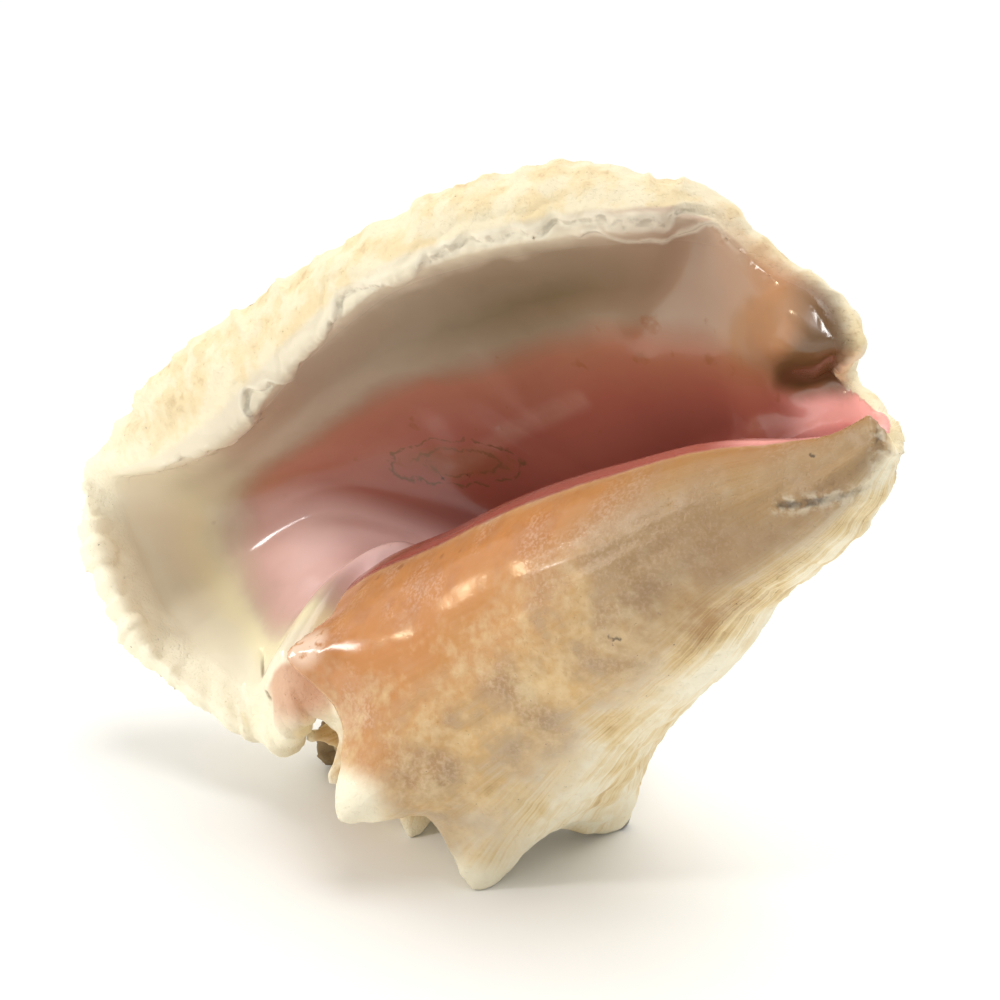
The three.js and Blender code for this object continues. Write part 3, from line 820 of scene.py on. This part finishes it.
def tint(red, green, blue):
    """A colour given as screen values from 0 to 255."""
    def linear(value):
        value /= 255
        return value / 12.92 if value <= 0.04045 else ((value + 0.055) / 1.055)**2.4
    return linear(red), linear(green), linear(blue), 1


def feed(socket, value):
    if isinstance(value, bpy.types.NodeSocket):
        tree.links.new(value, socket)
    else:
        socket.default_value = value


def field(name):
    made = tree.nodes.new("ShaderNodeAttribute")
    made.attribute_name = name
    return made.outputs["Fac"]


def calc(operation, *values):
    made = tree.nodes.new("ShaderNodeMath")
    made.operation = operation
    for socket, value in zip(made.inputs, values):
        feed(socket, value)
    return made.outputs[0]


def times(*values):
    product = values[0]
    for value in values[1:]:
        product = calc("MULTIPLY", product, value)
    return product


def plus(first, second):
    return calc("ADD", first, second)


def less(value):
    """1 minus the value."""
    return calc("SUBTRACT", 1.0, value)


def between(low, high, value):
    """0 up to low, 1 from high on, smooth between them; low may be above high."""
    made = tree.nodes.new("ShaderNodeMapRange")
    made.interpolation_type = "SMOOTHSTEP"
    made.inputs["From Min"].default_value = min(low, high)
    made.inputs["From Max"].default_value = max(low, high)
    made.inputs["To Min"].default_value = float(low > high)
    made.inputs["To Max"].default_value = float(low <= high)
    feed(made.inputs["Value"], value)
    return made.outputs["Result"]


def vector(x, y, z=0.0):
    made = tree.nodes.new("ShaderNodeCombineXYZ")
    for socket, value in zip(made.inputs, (x, y, z)):
        feed(socket, value)
    return made.outputs[0]


where = tree.nodes.new("ShaderNodeTexCoord").outputs["Object"]


def grain(size, detail=3.0, roughness=0.55, place=None, distortion=0.0):
    """Noise about 0.5 with lumps of a size in millimetres. place is given in millimetres."""
    made = tree.nodes.new("ShaderNodeTexNoise")
    made.inputs["Scale"].default_value = 1 / size if place else 1 / (size * MM)
    made.inputs["Detail"].default_value = detail
    made.inputs["Roughness"].default_value = roughness
    made.inputs["Distortion"].default_value = distortion
    feed(made.inputs["Vector"], place or where)
    return made.outputs["Fac"]


def laid(below, above, amount):
    """One colour over another."""
    made = tree.nodes.new("ShaderNodeMix")
    made.data_type = "RGBA"
    feed(made.inputs[0], amount)
    feed(made.inputs[6], below)
    feed(made.inputs[7], above)
    return made.outputs[2]


def swung(value, noise_value, depth):
    """A value moved up and down by noise, half the depth each way."""
    return plus(value, times(calc("SUBTRACT", noise_value, 0.5), depth))


def broken(mask, noise_value, depth):
    """A mask with its edge broken up by noise."""
    return between(0.3, 0.7, swung(mask, noise_value, depth))


def stirred(mask, noise_value, depth):
    """A mask whose soft edge is stirred by noise."""
    return plus(mask, times(calc("SUBTRACT", noise_value, 0.5), depth * 4, mask, less(mask)))


def ramp(value, *stops):
    made = tree.nodes.new("ShaderNodeValToRGB")
    band = made.color_ramp
    while len(band.elements) < len(stops):
        band.elements.new(0.5)
    for element, (place, color) in zip(band.elements, stops):
        element.position = place
        element.color = color
    feed(made.inputs[0], value)
    return made.outputs[0]


CREAM = tint(248, 239, 212)
CHALK = tint(245, 238, 216)
GOLD = tint(218, 172, 104)
KNOB_PINK = tint(214, 164, 132)
YELLOW_CREAM = tint(230, 205, 152)
# Beige and olive grey: the lip's cream face darkened as painted shade
SHADED_BEIGE = tint(172, 159, 135)
SHADED_OLIVE_GREY = tint(134, 124, 98)
SALMON = tint(186, 124, 99)
ROSE = tint(176, 101, 84)
DEEP_ROSE = tint(164, 86, 74)
LILAC = tint(254, 214, 210)
CANDY = tint(250, 176, 168)
ORANGE_TAN = tint(198, 131, 74)
AMBER = tint(174, 105, 54)
TAN = tint(182, 143, 94)
OLIVE_TAN = tint(148, 114, 72)
NOSE_TAN = tint(178, 135, 100)
# Painted glow: a pale colour standing in for light through the lower left of the lip
PAINTED_GLOW = tint(255, 245, 206)
# Olive brown of the swelling's underside, darkened as painted shade
NOSE_BROWN_AND_SHADE = tint(106, 78, 50)
RUST = tint(150, 92, 46)
CRUST = tint(112, 88, 54)
DARK = tint(62, 48, 36)
PALE_PINK = tint(244, 214, 190)
# Painted light: lighter beige for the left part of the lip's face
LIT_LEFT_BEIGE = tint(212, 200, 176)
# Dull beige: the lip's cream face darkened as painted shade
SHADED_DULL_BEIGE = tint(160, 143, 117)
DUSTY_PINK = tint(176, 144, 120)
RIM_CREAM = tint(236, 224, 192)
# Painted light: near-white that brightens the rim's left end
LIT_RIM_WHITE = tint(255, 248, 222)

large, medium, small, tiny = grain(22), grain(8), grain(2.6, 4.0), grain(0.9, 2.0)
tone = swung(swung(field("tone"), large, 0.12), medium, 0.05)
# The lip's face from the rim's cream to deep rose; the beige, olive grey and dull beige stops are
# cream darkened as painted shade under the lip's overhang
mouth = ramp(tone, (0.0, CREAM), (0.08, SHADED_BEIGE), (0.3, SHADED_OLIVE_GREY), (0.44, SHADED_DULL_BEIGE),
             (0.6, SALMON), (0.78, ROSE), (1.0, DEEP_ROSE))
# Painted light: the left part of the lip's face made lighter, as if lit from the left
face_left_light = times(between(0.6, 0.42, field("round")), between(0.58, 0.4, tone), 0.75)
mouth = laid(mouth, LIT_LEFT_BEIGE, face_left_light)
# Painted shade: the right part of the lip's face darkened with olive tan, away from the light
face_right_shade = times(between(0.48, 0.62, field("round")), between(0.5, 0.36, tone), 0.5)
mouth = laid(mouth, OLIVE_TAN, times(face_right_shade, less(field("nose")), 0.5))
beside_nose = times(between(0.6, 0.7, field("round")), between(0.62, 0.4, tone), 0.75)
mouth = laid(mouth, DUSTY_PINK, beside_nose)
# Painted shade: the salmon towards the right edge of the face darkened with rust colour
right_edge_shade = times(between(0.5, 0.68, field("round")), between(0.42, 0.56, tone))
mouth = laid(mouth, RUST, times(right_edge_shade, between(0.85, 0.6, tone), 0.35))
# Painted light: a glow laid over the lower left of the lip's face and over the lilac trough
mouth = laid(mouth, PAINTED_GLOW, times(between(0.38, 0.24, field("round")), between(0.58, 0.3, tone)))
mouth = laid(mouth, LILAC, times(field("lilac"), between(0.36, 0.7, tone)))
mouth = laid(mouth, PAINTED_GLOW, times(field("lilac"), between(0.6, 0.25, tone)))
mouth = laid(mouth, CREAM, times(between(0.44, 0.3, field("round")), between(0.36, 0.1, tone)))
mouth = laid(mouth, PALE_PINK, times(between(5.0, 0.0, field("streak")), medium, 0.25))
scar_edge = swung(field("scar"), medium, 0.9)
scar_ring = between(0.07, 0.01, calc("ABSOLUTE", calc("SUBTRACT", scar_edge, 1.0)))
scar_arc = between(0.07, 0.01, calc("ABSOLUTE", calc("SUBTRACT", scar_edge, 0.6)))
mouth = laid(mouth, RUST, times(between(1.0, 0.5, scar_edge), 0.4))
scar_lines = calc("MAXIMUM", scar_ring, times(scar_arc, 0.8))
mouth = laid(mouth, CRUST, times(scar_lines, between(0.36, 0.56, small), 0.7))
mouth = laid(mouth, CANDY, field("canal"))
rust_spots = times(between(0.66, 0.76, grain(6, 2.0)), between(0.35, 0.5, tone), 0.4)
mouth = laid(mouth, RUST, times(rust_spots, less(field("lilac")), less(field("canal"))))
nose_color = laid(NOSE_TAN, ORANGE_TAN, times(between(0.35, 0.65, large), 0.6))
# Under the swelling: partly its own brown, partly painted shade
nose_color = laid(nose_color, NOSE_BROWN_AND_SHADE, stirred(field("shade_under_nose"), large, 0.6))
mouth = laid(mouth, nose_color, stirred(field("nose"), medium, 0.5))

line_place = vector(times(field("turned"), 0.5), times(field("degrees"), 0.01))
growth_lines = grain(1, 3.0, 0.6, line_place)
flank = ramp(swung(large, growth_lines, 0.5),
             (0.26, TAN), (0.4, YELLOW_CREAM), (0.54, CREAM), (0.72, CHALK))
flank = laid(flank, TAN, times(stirred(field("callus"), large, 1.0), 0.75))
golden = times(between(160, 100, field("degrees")), less(field("far")), less(field("on_lip")))
flank = laid(flank, GOLD, times(golden, between(0.3, 0.6, medium), 0.75))
flank = laid(flank, OLIVE_TAN, times(field("callus"), between(0.42, 0.66, large), 0.6))
orange = laid(ORANGE_TAN, AMBER, times(between(0.42, 0.62, medium), 0.55))
flank = laid(flank, orange, times(stirred(field("glaze"), medium, 0.8), 0.92))
patches = plus(times(medium, 0.6), times(small, 0.4))
unglazed = less(times(field("glaze"), 0.7))
flank = laid(flank, CHALK, times(between(0.42, 0.72, patches), unglazed, 0.26))
speckle = times(between(0.5, 0.62, large), between(0.4, 0.66, tiny), field("callus"))
flank = laid(flank, PALE_PINK, times(speckle, 0.24))
flank = laid(flank, OLIVE_TAN, times(field("callus"), field("far"), 0.6))
flecks = times(between(0.42, 0.72, patches), between(48, 74, field("degrees")))
flank = laid(flank, YELLOW_CREAM, times(flecks, less(field("far")), 0.5))
flank = laid(flank, CREAM, stirred(field("tip"), medium, 0.8))
flank = laid(flank, PALE_PINK, times(between(8, 3, field("knob")), between(0.3, 0.5, small), 0.85))
flank = laid(flank, CRUST, times(stirred(field("apex"), small, 1.4), field("spire"), 0.85))
rim_color = laid(RIM_CREAM, YELLOW_CREAM, times(between(0.42, 0.62, medium), 0.6))
# Painted light: the rim's left end made whiter where it would render shaded
rim_color = laid(rim_color, LIT_RIM_WHITE, times(between(0.42, 0.3, field("round")), 0.85))
# Tan patches on the rim: partly its own stains, partly painted shade between crest and margin
stains_and_shade = times(between(0.54, 0.7, patches), between(0.3, 0.42, field("round")), 0.5)
rim_color = laid(rim_color, TAN, times(stains_and_shade, between(1.05, 1.4, field("across"))))
rim_color = laid(rim_color, nose_color, stirred(field("nose"), medium, 0.6))
flank = laid(flank, rim_color, times(field("on_lip"), between(2.6, 2.1, field("across"))))
flank = laid(flank, KNOB_PINK, times(between(17, 8, field("knob_foot")), 0.85))
outer = broken(field("outside"), small, 0.2)
color = laid(mouth, flank, outer)

from_flake = calc("ABSOLUTE", field("flake"))
color = laid(color, CHALK, times(field("rim"), between(2.2, 0.5, from_flake), 0.6))
# Dark line along the flaky ledge: partly the crack between layers, partly painted shade at the
# ledge's foot
flake_shade_line = times(field("rim"), between(0.55, 0.1, from_flake), between(0.42, 0.6, small))
color = laid(color, CRUST, times(flake_shade_line, 0.3))
from_second = calc("ABSOLUTE", field("second"))
second_edge = times(field("rim"), between(1.8, 0.4, from_second), field("patchy"))
color = laid(color, CHALK, times(second_edge, 0.7))
# Dark line along the second ledge: partly a crack, partly painted shade at its foot
second_shade_line = times(field("rim"), between(0.5, 0.1, from_second), field("patchy"))
color = laid(color, CRUST, times(second_shade_line, 0.25))
beside_crack = times(between(3.0, 0.6, field("crack")), between(0.4, 0.6, small))
color = laid(color, CHALK, times(beside_crack, 0.45))
crack_line = times(between(1.2, 0.4, field("crack")), between(0.26, 0.46, small))
color = laid(color, DARK, times(crack_line, 0.75))
color = laid(color, CRUST, times(between(1.1, 0.3, field("seam")), 0.7))
marked = swung(field("rust_marks"), small, 0.8)
color = laid(color, RUST, times(between(0.4, 0.8, marked), 0.6))
marked = swung(field("dark_marks"), small, 1.2)
color = laid(color, DARK, times(between(0.5, 0.7, marked), 0.75))
specks = times(between(0.70, 0.76, tiny), field("outside"), between(0.5, 0.62, medium))
color = laid(color, CRUST, times(specks, less(field("glaze")), 0.8))
feed(shader.inputs["Base Color"], color)

chalky = times(field("outside"), less(times(broken(field("glaze"), medium, 0.7), 0.9)))
chalky = times(chalky, less(times(field("callus"), 0.35)))
worn_edge = times(field("rim"), between(-9.0, -1.0, field("outwards")), less(field("outside")))
feed(shader.inputs["Roughness"], plus(plus(0.15, times(chalky, 0.47)), times(worn_edge, 0.35)))
pits = times(between(0.5, 0.75, tiny), 0.12)
bump_height = plus(times(chalky, plus(times(small, 0.25), times(pits, -1.0))), times(medium, 0.05))
bump = tree.nodes.new("ShaderNodeBump")
bump.inputs["Strength"].default_value = 1.0
bump.inputs["Distance"].default_value = MM
feed(bump.inputs["Height"], bump_height)
feed(shader.inputs["Normal"], bump.outputs[0])
shell_mesh.materials.append(material)


# Floor, light and camera

def plain_material(name, color, roughness):
    made = bpy.data.materials.new(name)
    made.use_nodes = True
    node = made.node_tree.nodes["Principled BSDF"]
    node.inputs["Base Color"].default_value = (*color, 1)
    node.inputs["Roughness"].default_value = roughness
    return made


bpy.ops.mesh.primitive_plane_add(size=FLOOR_SIZE, location=(0, 0, 0))
floor = bpy.context.object
floor.name = "floor"
floor.data.materials.append(plain_material("floor_paper", FLOOR_PAPER, 0.6))


def area_light(name, at, size, power, color):
    data = bpy.data.lights.new(name, "AREA")
    data.shape = "RECTANGLE"
    data.size, data.size_y = size
    data.energy = power
    data.color = color
    lamp = bpy.data.objects.new(name, data)
    lamp.location = at
    lamp.rotation_euler = (Vector(HEART) - Vector(at)).to_track_quat("-Z", "Y").to_euler()
    bpy.context.scene.collection.objects.link(lamp)


for lamp_values in AREA_LIGHTS:
    area_light(*lamp_values)

overhead_data = bpy.data.lights.new("overhead", "SUN")
overhead_data.energy = SUN_STRENGTH
overhead_data.angle = SUN_SPREAD
overhead_data.color = SUN_COLOR
overhead = bpy.data.objects.new("overhead", overhead_data)
overhead.rotation_euler = Vector(SUN_FROM).to_track_quat("Z", "Y").to_euler()
bpy.context.scene.collection.objects.link(overhead)

world = bpy.data.worlds.new("studio")
bpy.context.scene.world = world
world.use_nodes = True
sky = world.node_tree
direction = sky.nodes.new("ShaderNodeSeparateXYZ")
sky.links.new(sky.nodes.new("ShaderNodeTexCoord").outputs["Generated"], direction.inputs[0])
dimming = sky.nodes.new("ShaderNodeMapRange")
for socket, value in SKY_DIMMING.items():
    dimming.inputs[socket].default_value = value
sky.links.new(direction.outputs["Y"], dimming.inputs["Value"])
sky.links.new(dimming.outputs["Result"], sky.nodes["Background"].inputs["Strength"])
sky.nodes["Background"].inputs["Color"].default_value = (*SKY_COLOR, 1)
bpy.context.scene.view_settings.view_transform = "Standard"

camera_data = bpy.data.cameras.new("photo_view")
camera_data.lens = CAMERA_LENS
camera_data.sensor_width = 36
camera = bpy.data.objects.new("photo_view", camera_data)
camera.location = Vector(CAMERA_AT) * MM
camera.rotation_euler = Euler((CAMERA_TILT, 0, 0))
bpy.context.scene.collection.objects.link(camera)
bpy.context.scene.camera = camera
